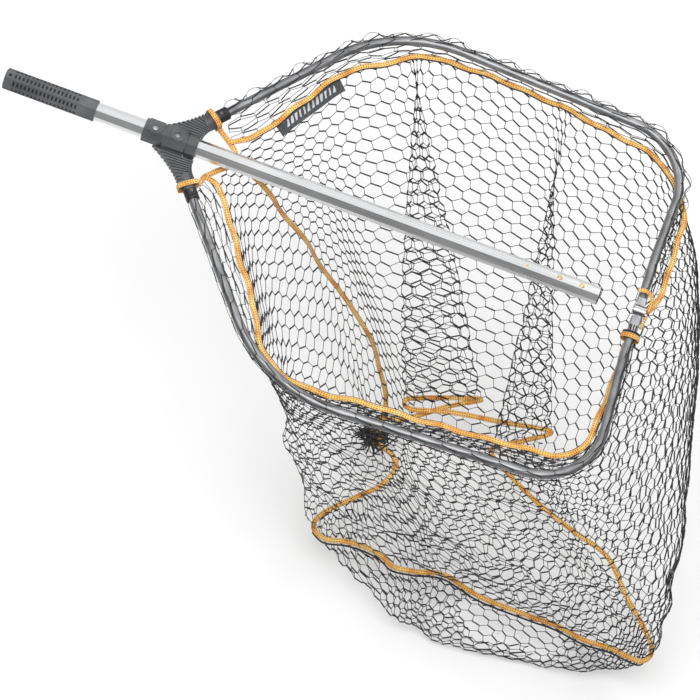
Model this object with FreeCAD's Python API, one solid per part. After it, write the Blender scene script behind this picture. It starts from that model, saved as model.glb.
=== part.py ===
import FreeCAD, Part

import math
import os

from FreeCAD import Vector

# Folding landing net, in millimetres. X runs forward along the pole, Z is up, and Y+ is the left half.
# The origin is on the pole's axis, at the middle of the grip. The head is drawn about the yoke's centre
# and then moved along the pole by YOKE_X, to where it stands with the pole pushed through it.

# Pole: an octagonal tube with a flat on top
POLE_FLATS = 28.0
POLE_WALL = 1.5
POLE_REAR = -64.0
POLE_FRONT = 952.0
PLUG_DEPTH = 18.0

# Grip: a moulded octagonal sleeve with rows of cross slots, closed at its rear
GRIP_LENGTH = 158.0
GRIP_FLATS = 33.0
GRIP_FIT = 0.05
SLOT_ROWS = 8
SLOTS_PER_ROW = 17
SLOT_PITCH = 6.7
SLOT_WIDTH = 3.0
SLOT_LENGTH = 7.0
SLOT_DEPTH = 1.3
LANYARD_HOLE_RADIUS = 2.5
LANYARD_HOLE_INSET = 8.0

# Yoke: a bush that slides on the pole, and three collars round it
YOKE_X = 209.0
YOKE_REAR = -47.0
YOKE_FRONT = 45.0
BUSH_FLATS = 28.2
BUSH_RADIUS = 16.2
COLLAR_BORE = 16.26
REAR_COLLAR = (YOKE_REAR, -12.6)
MIDDLE_COLLAR = (-11.6, 26.0)
FRONT_COLLAR = (27.0, YOKE_FRONT)
REAR_FLATS = 36.0
MIDDLE_FLATS = 41.0
FRONT_FLATS = 39.0
TONGUE_RISE = 1.5
TONGUE_HALF_WIDTH = 13.0
HEAD_GAP = 0.6

# Snap buttons, which click into the yoke when it is at the pole's front end
HOLES_X = (-29.0, 9.5)
HEAD_TRAVEL = 702.5
BUTTON_RADIUS = 4.0
BUTTON_TOP = 15.85
BUTTON_FOOT = 9.0
BUTTON_FLANGE_RADIUS = 5.4
POLE_HOLE_RADIUS = 4.15
BUSH_HOLE_RADIUS = 4.3
COLLAR_HOLE_RADIUS = 4.7
RIVET_X = 617.0 + YOKE_X

# Hoop: one bent tube on each side, in a plane below the pole's axis so that the halves fold flat
FRAME_Z = -10.0
TUBE_RADIUS = 7.75
TUBE_WALL = 1.4
TUBE_FIT = 0.06
SOCKET = (52.3, 64.3)
SHOULDER = (281.0, 353.4)
SHOULDER_BEND = 244.0
CORNER = (826.0, 330.0)
CORNER_BEND = 110.0
FRONT_X = 815.0
FRONT_BEND = (110.0, 900.0)

# Ribbed arms
ARM_HALF_HEIGHT = 8.5
ARM_ROOT = (-26.0, 46.0)
ARM_ROOT_Y = 17.0
ARM_END_HALF_WIDTH = 15.0
RIB_COUNT = 12
RIB_SHARE = 0.52
RIB_DEPTH = 3.2
BARREL_RADIUS = 10.5
CLIP_RADIUS = 11.3

# Front hinge, whose pin is in line with the pole
CHEEK_RADIUS = 9.0
HINGE_HALF_WIDTH = 9.5
SLOT_HALF = 4.0
TONGUE_HALF = 3.7
PIN_RADIUS = 2.5
PIN_RUNNING_FIT = 0.06
HINGE_BODY_END = 26.0
SPIGOT_END = 50.0
LEFT_TUBE_END = 27.0
RIGHT_TUBE_END = 37.5

# Tapes
TAPE_WIDTH = 9.0
TAPE_THICKNESS = 1.2
HEM_Z = -21.9
STRAP_Z = -24.1
STRAP_RING = (16.6, 11.0)
STRAP_RING_BEND = 4.0
LEFT_LOOP_Z = (-1.6, 3.0)
RIGHT_LOOP_Z = (-9.6, -5.0)
LABEL_SIZE = (145.0, 25.0, 1.0)

# Net bag: flat walls between the hem and the taped edge of its bottom, which hangs forward and to the right
NET_THICKNESS = 3.0
NET_SEAM = 3.5
FOLD_GAP = 1.0
RIM_Z = -31.0
RIM_REAR = Vector(78, 0, RIM_Z)
RIM_SHOULDER = (285.0, 316.0)
RIM_CORNER = (806.0, 290.0)
RIM_FRONT = Vector(838, 0, RIM_Z)
BOTTOM_EDGE = [
    Vector(440, -339, -540),
    Vector(1082, -364, -540),
    Vector(945, -185, -540),
    Vector(747, -118, -535),
    Vector(500, -142, -535),
]
BOTTOM_LOWEST = Vector(835, -412, -646)
FRONT_BULGE = Vector(985, -30, -250)
EDGE_TAPE_SHRINK = 0.92
EDGE_TAPE_RISE = 16.0

X_AXIS = Vector(1, 0, 0)
Y_AXIS = Vector(0, 1, 0)
Z_AXIS = Vector(0, 0, 1)
EVERYWHERE = 3000.0


# ---- general shapes ----

def octagon(flats, start, end):
    """An octagonal bar along X, with a flat on top."""
    corner = flats / 2 / math.cos(math.pi / 8)
    points = []
    for step in range(9):
        angle = math.pi / 8 + step * math.pi / 4
        points.append(Vector(start, corner * math.cos(angle), corner * math.sin(angle)))
    return Part.Face(Part.makePolygon(points)).extrude(Vector(end - start, 0, 0))


def corner_radius(flats):
    return flats / 2 / math.cos(math.pi / 8)


def rod_x(radius, start, end, y=0.0, z=0.0):
    return Part.makeCylinder(radius, end - start, Vector(start, y, z), X_AXIS)


def rod_y(radius, start, end, x, z):
    return Part.makeCylinder(radius, end - start, Vector(x, start, z), Y_AXIS)


def rod_z(radius, low, high, x, y=0.0):
    return Part.makeCylinder(radius, high - low, Vector(x, y, low), Z_AXIS)


def block(low, high):
    size = Vector(*high) - Vector(*low)
    return Part.makeBox(size.x, size.y, size.z, Vector(*low))


def plate(points, low, high):
    """A flat plate with straight edges, from its outline in plan."""
    corners = [Vector(x, y, low) for x, y in points]
    return Part.Face(Part.makePolygon(corners + corners[:1])).extrude(Vector(0, 0, high - low))


def fused(shapes):
    return shapes[0].multiFuse(shapes[1:]).removeSplitter()


def mirrored(shape):
    """The same piece on the other side of the pole."""
    return shape.mirror(Vector(0, 0, 0), Y_AXIS)


def rounded_path(corners, z):
    """Straight runs joined by tangent arcs. A corner is x, y and the radius of its bend."""
    points = [Vector(x, y, z) for x, y, bend in corners]
    edges = []
    start = points[0]
    for before, here, after, corner in zip(points, points[1:], points[2:], corners[1:]):
        back = (before - here).normalize()
        ahead = (after - here).normalize()
        half = back.getAngle(ahead) / 2
        reach = corner[2] / math.tan(half)
        enter = here + back * reach
        leave = here + ahead * reach
        middle = here + (back + ahead).normalize() * (corner[2] / math.sin(half) - corner[2])
        edges.append(Part.LineSegment(start, enter).toShape())
        edges.append(Part.Arc(enter, middle, leave).toShape())
        start = leave
    edges.append(Part.LineSegment(start, points[-1]).toShape())
    return Part.Wire(edges)


def swept(path, profile):
    return path.makePipeShell([profile], True, False)


def path_start(path):
    edge = path.Edges[0]
    return edge.valueAt(edge.FirstParameter), edge.tangentAt(edge.FirstParameter)


def pipe(path, radius):
    start, along = path_start(path)
    return swept(path, Part.Wire(Part.makeCircle(radius, start, along)))


def flat_band(path, width, thickness):
    """A tape laid flat in plan along a path."""
    start, along = path_start(path)
    side = along.cross(Z_AXIS) * (width / 2)
    rise = Z_AXIS * (thickness / 2)
    corners = [start + side + rise, start - side + rise, start - side - rise, start + side - rise]
    return swept(path, Part.makePolygon(corners + corners[:1]))


# ---- pole ----

def pole_tube():
    tube = octagon(POLE_FLATS, POLE_REAR, POLE_FRONT)
    tube = tube.cut(octagon(POLE_FLATS - 2 * POLE_WALL, POLE_REAR - 1, POLE_FRONT + 1))
    for x in HOLES_X:
        tube = tube.cut(rod_z(POLE_HOLE_RADIUS, 0, POLE_FLATS, YOKE_X + HEAD_TRAVEL + x))
    return tube.cut(rod_z(1.55, 0, POLE_FLATS, RIVET_X))


def grip():
    rear, front = -GRIP_LENGTH / 2, GRIP_LENGTH / 2
    body = octagon(GRIP_FLATS, rear, front)
    edges = [e for e in body.Edges if abs(e.CenterOfMass.x - rear) < 0.01]
    body = body.makeChamfer(1.5, edges)
    body = body.cut(octagon(POLE_FLATS + 2 * GRIP_FIT, POLE_REAR - 0.2, front + 1))
    slots = []
    for row in range(SLOT_ROWS):
        turn = row * 360.0 / SLOT_ROWS
        for number in range(SLOTS_PER_ROW):
            x = rear + 16.0 + number * SLOT_PITCH
            slot = block(
                (x, -SLOT_LENGTH / 2, GRIP_FLATS / 2 - SLOT_DEPTH),
                (x + SLOT_WIDTH, SLOT_LENGTH / 2, GRIP_FLATS),
            )
            slots.append(slot.rotated(Vector(0, 0, 0), X_AXIS, turn))
    body = body.cut(Part.makeCompound(slots))
    hole = rod_z(LANYARD_HOLE_RADIUS, -GRIP_FLATS, GRIP_FLATS, rear + LANYARD_HOLE_INSET)
    return body.cut(hole)


def nose_plug():
    inside = POLE_FLATS - 2 * POLE_WALL - 0.1
    shank = octagon(inside, POLE_FRONT - PLUG_DEPTH, POLE_FRONT + 0.02)
    hollow = octagon(inside - 4, POLE_FRONT - PLUG_DEPTH - 1, POLE_FRONT - 3)
    return fused([shank.cut(hollow), octagon(POLE_FLATS - 0.4, POLE_FRONT + 0.02, POLE_FRONT + 2)])


def snap_spring():
    """A spring leaf inside the pole: riveted under its top wall, and bent down to run under both buttons."""
    under_wall = POLE_FLATS / 2 - POLE_WALL - 0.05
    foot = BUTTON_FOOT - 0.05
    first = YOKE_X + HEAD_TRAVEL + HOLES_X[0]
    last = YOKE_X + HEAD_TRAVEL + HOLES_X[1]
    line = [(RIVET_X - 7, under_wall), (RIVET_X + 8, under_wall), (first - 8, foot), (last + 6, foot)]
    top = [Vector(x, -4, z) for x, z in line]
    below = [Vector(x, -4, z - 0.7) for x, z in reversed(line)]
    leaf = Part.Face(Part.makePolygon(top + below + top[:1])).extrude(Vector(0, 8, 0))
    return leaf.cut(rod_z(1.55, 0, POLE_FLATS, RIVET_X))


def spring_rivet():
    shank = rod_z(1.5, POLE_FLATS / 2 - POLE_WALL - 1.4, POLE_FLATS / 2 + 0.02, RIVET_X)
    head = rod_z(2.4, POLE_FLATS / 2 + 0.02, POLE_FLATS / 2 + 0.09, RIVET_X)
    tail = rod_z(2.4, POLE_FLATS / 2 - POLE_WALL - 1.9, POLE_FLATS / 2 - POLE_WALL - 0.8, RIVET_X)
    return fused([shank, head, tail])


def snap_button(hole_x):
    x = YOKE_X + HEAD_TRAVEL + hole_x
    stem = rod_z(BUTTON_RADIUS, BUTTON_FOOT, BUTTON_TOP, x)
    rim = [e for e in stem.Edges if abs(e.CenterOfMass.z - BUTTON_TOP) < 0.01]
    stem = stem.makeFillet(1.2, rim)
    return fused([stem, rod_z(BUTTON_FLANGE_RADIUS, BUTTON_FOOT, BUTTON_FOOT + 1.2, x)])


# ---- yoke ----

def yoke_bush():
    bush = rod_x(BUSH_RADIUS, YOKE_REAR, YOKE_FRONT)
    bush = bush.cut(octagon(BUSH_FLATS, YOKE_REAR - 1, YOKE_FRONT + 1))
    for x in HOLES_X:
        bush = bush.cut(rod_z(BUSH_HOLE_RADIUS, 0, 2 * BUSH_RADIUS, x))
    return bush


def tongue(flats, hole_x):
    """The raised pad round a button hole: it comes over from the left and ends in a half round."""
    skin = octagon(flats + 2 * TONGUE_RISE, hole_x - TONGUE_HALF_WIDTH, hole_x + TONGUE_HALF_WIDTH)
    half = rod_z(TONGUE_HALF_WIDTH, 0, 2 * flats, hole_x, 1.0)
    strip = block((hole_x - TONGUE_HALF_WIDTH, 1.0, 0), (hole_x + TONGUE_HALF_WIDTH, flats, 2 * flats))
    return skin.common(fused([half, strip]))


def collar(span, flats, hole_x=None):
    start, end = span
    shapes = [octagon(flats, start, end)]
    if hole_x is not None:
        shapes.append(tongue(flats, hole_x).common(block((start, -99, -99), (end, 99, 99))))
    ring = fused(shapes) if len(shapes) > 1 else shapes[0]
    ends = [e for e in ring.Edges if len(e.Vertexes) == 2 and e.BoundBox.XLength < 0.01]
    ends = [e for e in ends if abs(e.CenterOfMass.x - start) < 0.01 or abs(e.CenterOfMass.x - end) < 0.01]
    if hole_x is None:
        ring = ring.makeChamfer(0.8, ends)
    ring = ring.cut(rod_x(COLLAR_BORE, start - 1, end + 1))
    if hole_x is not None:
        ring = ring.cut(rod_z(COLLAR_HOLE_RADIUS, 0, 2 * flats, hole_x))
    return ring


def arm_direction():
    return Vector(SHOULDER[0] - SOCKET[0], SHOULDER[1] - SOCKET[1], 0).normalize()


def along_arm(distance):
    """A point on the hoop tube's own line, counted from the end of the ribbed arm."""
    return Vector(SOCKET[0], SOCKET[1], FRAME_Z) + arm_direction() * distance


def arm_edges():
    """The rear and front edges of the arm in plan, each a curve from the collar to the socket."""
    side = arm_direction().cross(Z_AXIS) * ARM_END_HALF_WIDTH
    end = Vector(SOCKET[0], SOCKET[1], 0)
    rear = Part.BezierCurve()
    rear.setPoles([Vector(ARM_ROOT[0], ARM_ROOT_Y, 0), Vector(22, 44, 0), end - side])
    front = Part.BezierCurve()
    front.setPoles([Vector(ARM_ROOT[1], ARM_ROOT_Y, 0), Vector(45, 44, 0), end + side])
    return rear, front


def arm_slice(rear, front, start, end, inset):
    """The quadrilateral of the arm between two places along its edges, pulled in at both edges."""
    corners = []
    for place, reverse in ((start, False), (end, True)):
        a, b = rear.value(place), front.value(place)
        pull = (b - a).normalize() * inset
        pair = [a + pull, b - pull]
        corners.extend(reversed(pair) if reverse else pair)
    return [(p.x, p.y) for p in corners]


def arm_body():
    """The ribbed arm: a core with cross ribs that fan out from the collar to the socket."""
    rear, front = arm_edges()
    low, high = FRAME_Z - ARM_HALF_HEIGHT, FRAME_Z + ARM_HALF_HEIGHT
    root = [(ARM_ROOT[0], 6.0), (ARM_ROOT[1], 6.0), (ARM_ROOT[1], ARM_ROOT_Y + 0.5), (ARM_ROOT[0], ARM_ROOT_Y + 0.5)]
    shapes = [plate(root, low, high)]
    for number in range(RIB_COUNT):
        start = number / RIB_COUNT
        end = (number + 1) / RIB_COUNT
        groove = start + (1 - RIB_SHARE) / RIB_COUNT
        core = arm_slice(rear, front, start, end, RIB_DEPTH)
        shapes.append(plate(core, low + RIB_DEPTH, high - RIB_DEPTH))
        shapes.append(plate(arm_slice(rear, front, groove, end, 0.0), low, high))
    shapes.append(Part.makeCylinder(BARREL_RADIUS, 27, along_arm(-18), arm_direction()))
    return fused(shapes)


def tube_bore():
    return Part.makeCylinder(TUBE_RADIUS + TUBE_FIT, 60, along_arm(-12), arm_direction())


def rivet_hole():
    place = along_arm(14)
    return rod_z(1.85, FRAME_Z - 20, FRAME_Z + 20, place.x, place.y)


def clearance(flats, span):
    """The space that a neighbour's collar needs as the yoke folds."""
    radius = corner_radius(flats + 2 * TONGUE_RISE) + HEAD_GAP
    return rod_x(radius, span[0] - 0.25, span[1] + 0.25)


def left_arm():
    body = arm_body().cut(clearance(MIDDLE_FLATS, MIDDLE_COLLAR))
    body = body.cut(rod_x(COLLAR_BORE, YOKE_REAR - 1, YOKE_FRONT + 1))
    body = body.cut(tube_bore())
    rear = collar(REAR_COLLAR, REAR_FLATS, HOLES_X[0])
    front = collar(FRONT_COLLAR, FRONT_FLATS)
    return fused([body, rear, front])


def right_arm():
    body = mirrored(arm_body())
    body = body.cut(clearance(REAR_FLATS, (YOKE_REAR, MIDDLE_COLLAR[0] - 0.25)))
    body = body.cut(clearance(FRONT_FLATS, (MIDDLE_COLLAR[1] + 0.25, YOKE_FRONT + 5)))
    body = body.cut(rod_x(COLLAR_BORE, YOKE_REAR - 1, YOKE_FRONT + 5))
    body = body.cut(mirrored(tube_bore()))
    return fused([body, collar(MIDDLE_COLLAR, MIDDLE_FLATS, HOLES_X[1])])


# ---- hoop ----

def hoop_tube(front_end):
    """One bent tube, from the arm's socket round to the front hinge."""
    start = along_arm(-11.9)
    corners = [(start.x, start.y, 0), (*SHOULDER, SHOULDER_BEND), (*CORNER, CORNER_BEND)]
    corners += [(FRONT_X, *FRONT_BEND), (FRONT_X, front_end, 0)]
    path = rounded_path(corners, FRAME_Z)
    tube = pipe(path, TUBE_RADIUS).cut(pipe(path, TUBE_RADIUS - TUBE_WALL))
    return tube.cut(rivet_hole())


def tube_rivet():
    place = along_arm(14)
    top = FRAME_Z + CLIP_RADIUS
    bottom = FRAME_Z - CLIP_RADIUS
    shank = rod_z(1.8, bottom - 0.6, top + 0.6, place.x, place.y)
    heads = [rod_z(3.0, top + 0.05, top + 1.0, place.x, place.y)]
    heads.append(rod_z(3.0, bottom - 1.0, bottom - 0.05, place.x, place.y))
    return fused([shank] + heads)


def socket_clip():
    """The collar that closes the socket, with a raised half-round pad on top."""
    ring = Part.makeCylinder(CLIP_RADIUS, 17.5, along_arm(9.5), arm_direction())
    place = along_arm(22)
    pad = rod_z(5.0, FRAME_Z, FRAME_Z + CLIP_RADIUS + 1.2, place.x, place.y)
    beyond = Part.makeCylinder(30, 30, place, arm_direction())
    ring = fused([ring, pad.cut(beyond)])
    return ring.cut(tube_bore()).cut(rivet_hole())


def hinge_side(half, inner, outer):
    """The cheeks or tongue of the front hinge: a round eye on the pin's line, and a leg down to the tube."""
    eye = rod_x(CHEEK_RADIUS, FRONT_X + inner, FRONT_X + outer)
    leg = block((FRONT_X + inner, 0, FRAME_Z - 7.5), (FRONT_X + outer, half, FRAME_Z + 8.5))
    return [eye, leg]


def hinge_body(start):
    """The thick part of a hinge half, and the spigot that is held in the tube."""
    body = block(
        (FRONT_X - HINGE_HALF_WIDTH + 1, start, FRAME_Z - 7.5),
        (FRONT_X + HINGE_HALF_WIDTH - 1, HINGE_BODY_END, FRAME_Z + 7.5),
    )
    along = [e for e in body.Edges if e.BoundBox.YLength > HINGE_BODY_END - start - 0.1]
    body = body.makeFillet(3.0, along)
    spigot = rod_y(TUBE_RADIUS - TUBE_WALL - TUBE_FIT, HINGE_BODY_END - 1, SPIGOT_END, FRONT_X, FRAME_Z)
    return [body, spigot]


def hinge_fork():
    shapes = hinge_side(14.0, -HINGE_HALF_WIDTH, -SLOT_HALF)
    shapes += hinge_side(14.0, SLOT_HALF, HINGE_HALF_WIDTH)
    shapes += hinge_body(12.0)
    fork = fused(shapes)
    return fork.cut(rod_x(PIN_RADIUS + 0.01, FRONT_X - 20, FRONT_X + 20))


def hinge_tongue():
    shapes = hinge_side(14.0, -TONGUE_HALF, TONGUE_HALF) + hinge_body(10.0)
    whole = mirrored(fused(shapes))
    return whole.cut(rod_x(PIN_RADIUS + PIN_RUNNING_FIT, FRONT_X - 20, FRONT_X + 20))


def hinge_pin():
    ends = HINGE_HALF_WIDTH + 0.05
    pin = rod_x(PIN_RADIUS, FRONT_X - ends, FRONT_X + ends)
    heads = [rod_x(4.2, FRONT_X - ends - 1.2, FRONT_X - ends), rod_x(4.2, FRONT_X + ends, FRONT_X + ends + 1.2)]
    return fused([pin] + heads)


def front_ferrule():
    """A grooved sleeve between the hinge's body and the hoop tube."""
    start, end = -RIGHT_TUBE_END + 0.2, -HINGE_BODY_END - 0.2
    sleeve = rod_y(8.6, start, end, FRONT_X, FRAME_Z)
    grooves = []
    for number in range(12):
        angle = number * math.pi / 6
        x = FRONT_X + 9.0 * math.cos(angle)
        z = FRAME_Z + 9.0 * math.sin(angle)
        grooves.append(rod_y(1.1, start - 1, end + 1, x, z))
    sleeve = sleeve.cut(Part.makeCompound(grooves))
    return sleeve.cut(rod_y(TUBE_RADIUS - TUBE_WALL, start - 1, end + 1, FRONT_X, FRAME_Z))


def tube_band(start, end, reach, height):
    """A sewn band round the end of the right tube, wider than the tube because the net is under it."""
    outer = Part.Ellipse(Vector(FRONT_X, start, FRAME_Z), reach, height).toShape()
    solid = Part.Face(Part.Wire(outer)).rotated(Vector(FRONT_X, start, FRAME_Z), X_AXIS, 90)
    solid = solid.extrude(Vector(0, end - start, 0))
    return solid.cut(rod_y(TUBE_RADIUS + TUBE_FIT, min(start, end) - 1, max(start, end) + 1, FRONT_X, FRAME_Z))


# ---- tapes and label ----

HEM_CORNERS = [
    (89, 40, 0),
    (150, 108, 150),
    (290, 322, 90),
    (790, 300, 70),
    (850, 215, 60),
    (846, 70, 60),
    (828, 12, 0),
]
RIGHT_HEM_CORNERS = [
    (74, -33, 0),
    (98, -38, 20),
    (285, -322, 90),
    (790, -286, 60),
    (812, -190, 60),
    (808, -100, 60),
    (812, -54, 0),
]


def hem_tape(corners):
    return flat_band(rounded_path(corners, HEM_Z), TAPE_WIDTH, TAPE_THICKNESS)


def rounded_bar(half_width, half_height, bend, length):
    """A bar along Z with a rounded rectangle for its section."""
    bar = block((-half_width, -half_height, 0), (half_width, half_height, length))
    return bar.makeFillet(bend, [e for e in bar.Edges if e.BoundBox.ZLength > length - 0.1])


def yoke_strap(tail_corners):
    """A tape sewn round the end of the arm, with a tail that runs to the hem and on under the pole."""
    start = along_arm(-4)
    along = arm_direction()
    sideways = along.cross(Z_AXIS)
    placing = FreeCAD.Matrix(
        sideways.x, 0, along.x, start.x,
        sideways.y, 0, along.y, start.y,
        0, 1, 0, start.z,
        0, 0, 0, 1,
    )
    width, height = STRAP_RING
    outer = rounded_bar(
        width + TAPE_THICKNESS, height + TAPE_THICKNESS, STRAP_RING_BEND + TAPE_THICKNESS, TAPE_WIDTH
    )
    ring = outer.cut(rounded_bar(width, height, STRAP_RING_BEND, TAPE_WIDTH)).transformGeometry(placing)
    tail = rounded_path(tail_corners, STRAP_Z)
    return Part.makeCompound([ring, flat_band(tail, TAPE_WIDTH, TAPE_THICKNESS)])


def upright_band(corners, heights):
    """A tape that stands on its edge, along a path in plan."""
    path = rounded_path(corners, heights[0])
    start, along = path_start(path)
    side = along.cross(Z_AXIS) * (TAPE_THICKNESS / 2)
    rise = Z_AXIS * (heights[1] - heights[0])
    profile = [start + side, start - side, start - side + rise, start + side + rise]
    return swept(path, Part.makePolygon(profile + profile[:1]))


def left_hinge_loop():
    return upright_band([(804, 36, 0), (828, 36, 14), (828, 2, 0)], LEFT_LOOP_Z)


def right_hinge_loop():
    return upright_band([(828, -2, 0), (828, -22, 8), (826, -30, 0)], RIGHT_LOOP_Z)


def label_tag():
    """A woven tag sewn under the left side of the hem, lying on the net."""
    length, height, thickness = LABEL_SIZE
    tag = block((0, -height, -thickness / 2), (length, 0, thickness / 2))
    tag = tag.rotated(Vector(0, 0, 0), X_AXIS, 24)
    tag = tag.rotated(Vector(0, 0, 0), Z_AXIS, 56.8)
    return tag.translated(Vector(152, 98, HEM_Z - 2.6))


# ---- net bag ----

def wall(a, b, c):
    """A flat three-cornered piece of the net, kept NET_SEAM clear of its neighbours."""
    sides = [(b - c).Length, (c - a).Length, (a - b).Length]
    around = sum(sides)
    centre = (a * sides[0] + b * sides[1] + c * sides[2]) * (1 / around)
    normal = (b - a).cross(c - a)
    inner_radius = normal.Length / around
    shrink = 1 - NET_SEAM / inner_radius
    normal = normal.normalize()
    corners = [centre + (p - centre) * shrink - normal * (NET_THICKNESS / 2) for p in (a, b, c)]
    return Part.Face(Part.makePolygon(corners + corners[:1])).extrude(normal * NET_THICKNESS)


def bag_walls():
    near, far_front, front, middle, rear = BOTTOM_EDGE
    low = BOTTOM_LOWEST
    left_shoulder = Vector(*RIM_SHOULDER, RIM_Z)
    left_corner = Vector(*RIM_CORNER, RIM_Z)
    right_shoulder = Vector(RIM_SHOULDER[0], -RIM_SHOULDER[1], RIM_Z)
    right_corner = Vector(RIM_CORNER[0], -RIM_CORNER[1], RIM_Z)
    return [
        wall(right_shoulder, right_corner, near),
        wall(right_corner, far_front, near),
        wall(RIM_REAR, right_shoulder, near),
        wall(RIM_REAR, near, rear),
        wall(right_corner, RIM_FRONT, FRONT_BULGE),
        wall(right_corner, FRONT_BULGE, far_front),
        wall(FRONT_BULGE, front, far_front),
        wall(RIM_REAR, rear, left_shoulder),
        wall(left_shoulder, rear, middle),
        wall(left_shoulder, middle, left_corner),
        wall(left_corner, middle, front),
        wall(left_corner, front, FRONT_BULGE),
        wall(left_corner, FRONT_BULGE, RIM_FRONT),
        wall(near, far_front, low),
        wall(far_front, front, low),
        wall(front, middle, low),
        wall(middle, rear, low),
        wall(rear, near, low),
    ]


def net_bag(side):
    """The half of the bag on one side of the fold, 1 for the left and -1 for the right."""
    if side > 0:
        room = block((-EVERYWHERE, FOLD_GAP, -EVERYWHERE), (EVERYWHERE, EVERYWHERE, EVERYWHERE))
    else:
        room = block((-EVERYWHERE, -EVERYWHERE, -EVERYWHERE), (EVERYWHERE, -FOLD_GAP, EVERYWHERE))
    pieces = []
    for piece in bag_walls():
        pieces.extend(s for s in piece.common(room).Solids if s.Volume > 100)
    return Part.makeCompound(pieces)


def tape_run(points):
    """Straight lengths of tape from point to point, each a separate flat piece just short of the next."""
    runs = []
    for a, b in zip(points, points[1:]):
        along = (b - a).normalize()
        side = along.cross(Z_AXIS).normalize() * (TAPE_WIDTH / 2)
        up = side.cross(along).normalize() * (TAPE_THICKNESS / 2)
        start = a + along * 6
        corners = [start + side + up, start - side + up, start - side - up, start + side - up]
        face = Part.Face(Part.makePolygon(corners + corners[:1]))
        runs.append(face.extrude(along * ((b - a).Length - 12)))
    return Part.makeCompound(runs)


def bottom_edge_tape():
    centre = Vector(0, 0, 0)
    for point in BOTTOM_EDGE:
        centre += point * (1 / len(BOTTOM_EDGE))
    inside = []
    for point in BOTTOM_EDGE:
        inside.append(centre + (point - centre) * EDGE_TAPE_SHRINK + Vector(0, 0, EDGE_TAPE_RISE))
    return tape_run(inside + inside[:1])


def centre_tape():
    points = [Vector(112, -7, -32), Vector(212, -14, -116), Vector(355, -40, -300), Vector(512, -150, -505)]
    return tape_run(points)


# ---- all the pieces, by body ----

def pole_nodes():
    return {
        "pole_tube": pole_tube(),
        "grip": grip(),
        "nose_plug": nose_plug(),
        "snap_spring": snap_spring(),
        "spring_rivet": spring_rivet(),
        "rear_button": snap_button(HOLES_X[0]),
        "front_button": snap_button(HOLES_X[1]),
    }


def left_nodes():
    return {
        "yoke_bush": yoke_bush(),
        "left_arm": left_arm(),
        "left_frame_tube": hoop_tube(LEFT_TUBE_END),
        "left_tube_rivet": tube_rivet(),
        "left_socket_clip": socket_clip(),
        "hinge_fork": hinge_fork(),
        "hinge_pin": hinge_pin(),
        "left_yoke_strap": yoke_strap([(67, 50, 0), (88, 42, 12), (104, 28, 12), (112, 4, 0)]),
        "left_hem_tape": hem_tape(HEM_CORNERS),
        "left_hinge_loop": left_hinge_loop(),
        "label_tag": label_tag(),
        "net_bag_left": net_bag(1),
    }


def right_nodes():
    return {
        "right_arm": right_arm(),
        "right_frame_tube": mirrored(hoop_tube(RIGHT_TUBE_END)),
        "right_tube_rivet": mirrored(tube_rivet()),
        "right_socket_clip": mirrored(socket_clip()),
        "hinge_tongue": hinge_tongue(),
        "front_ferrule": front_ferrule(),
        "ferrule_band": tube_band(-38.0, -42.6, 15.0, 10.5),
        "ferrule_tape": tube_band(-43.0, -51.6, 16.5, 11.5),
        "right_yoke_strap": mirrored(yoke_strap([(64, 46, 0), (73, 32, 10), (85, 17, 10), (97, 4, 0)])),
        "right_hem_tape": hem_tape(RIGHT_HEM_CORNERS),
        "right_hinge_loop": right_hinge_loop(),
        "net_bag_right": net_bag(-1),
        "bottom_edge_tape": bottom_edge_tape(),
        "centre_tape": centre_tape(),
    }


def main():
    os.makedirs("parts", exist_ok=True)
    shapes = pole_nodes()
    for nodes in (left_nodes(), right_nodes()):
        for name, shape in nodes.items():
            shapes[name] = shape.translated(Vector(YOKE_X, 0, 0))
    for name, shape in shapes.items():
        shape.exportStep("parts/" + name + ".step")
        print(name, "solids", len(shape.Solids), "valid", shape.isValid(), "volume", round(shape.Volume))


main()
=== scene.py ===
import math
import random

import bpy
from mathutils import Matrix, Vector, noise


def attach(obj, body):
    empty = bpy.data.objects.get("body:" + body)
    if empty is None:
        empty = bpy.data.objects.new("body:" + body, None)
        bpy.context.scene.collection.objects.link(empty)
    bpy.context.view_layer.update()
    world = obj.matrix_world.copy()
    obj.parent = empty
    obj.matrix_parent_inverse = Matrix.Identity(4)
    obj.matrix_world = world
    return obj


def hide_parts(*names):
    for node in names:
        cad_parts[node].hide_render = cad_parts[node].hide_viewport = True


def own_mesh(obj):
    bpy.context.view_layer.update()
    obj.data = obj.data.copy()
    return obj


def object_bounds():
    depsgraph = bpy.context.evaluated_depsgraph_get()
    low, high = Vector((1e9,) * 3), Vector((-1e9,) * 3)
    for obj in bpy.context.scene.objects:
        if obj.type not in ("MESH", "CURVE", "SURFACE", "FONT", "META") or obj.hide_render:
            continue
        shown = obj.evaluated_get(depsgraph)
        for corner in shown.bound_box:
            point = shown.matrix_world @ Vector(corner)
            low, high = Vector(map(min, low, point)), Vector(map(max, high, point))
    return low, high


# A folding landing net. Lengths here are in millimetres in the head's own frame: X forward from the yoke's
# centre, Y to the left half, Z up. place() turns them into metres in the whole net's frame, whose origin is
# YOKE_X behind the yoke.

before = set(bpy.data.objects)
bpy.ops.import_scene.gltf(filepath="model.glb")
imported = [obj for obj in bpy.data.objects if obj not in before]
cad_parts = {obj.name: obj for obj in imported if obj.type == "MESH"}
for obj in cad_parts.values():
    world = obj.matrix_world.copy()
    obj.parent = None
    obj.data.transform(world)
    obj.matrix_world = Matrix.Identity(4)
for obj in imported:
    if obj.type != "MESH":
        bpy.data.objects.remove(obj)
CAD_LOW, CAD_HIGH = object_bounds()

MM = 0.001
YOKE_X = 209.0

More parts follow.
